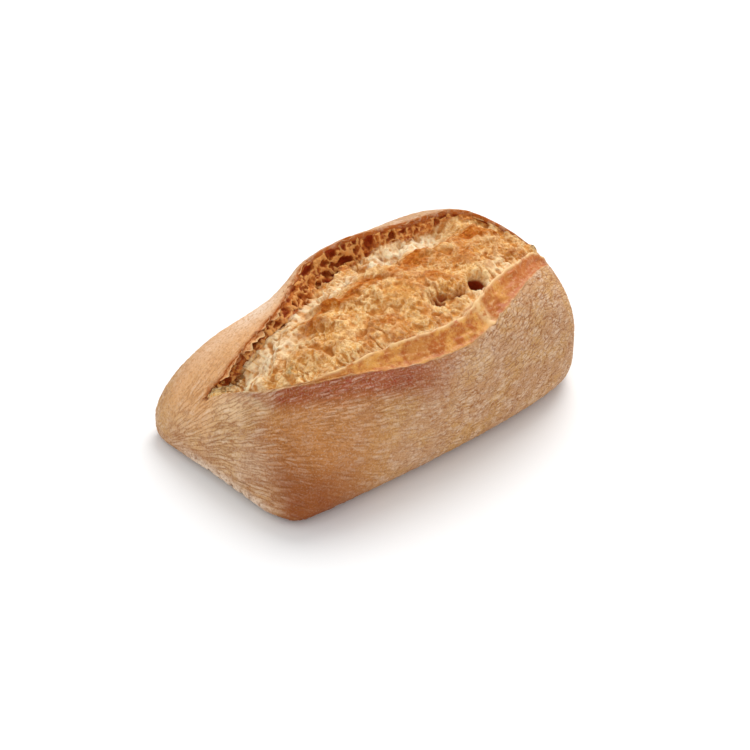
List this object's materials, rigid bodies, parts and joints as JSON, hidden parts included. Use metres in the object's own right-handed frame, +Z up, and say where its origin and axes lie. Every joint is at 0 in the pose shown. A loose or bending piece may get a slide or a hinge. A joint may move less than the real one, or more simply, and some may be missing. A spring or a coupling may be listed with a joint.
{
  "type": "bread roll",
  "caption": "Short rustic bread roll with a flat wedge end, a blunt end, floured ribbed crust and a wide torn opening along its top.",
  "frame": {"origin": "middle of the flat base, on the table", "axes": "+X along the roll towards its blunt end, +Y across it towards the standing lip of the tear, +Z up"},
  "size_m": [0.133, 0.0798, 0.054],
  "materials": {
    "crust": "matte"
  },
  "bodies": {
    "root": {"bread_roll": "crust"}
  },
  "joints": []
}
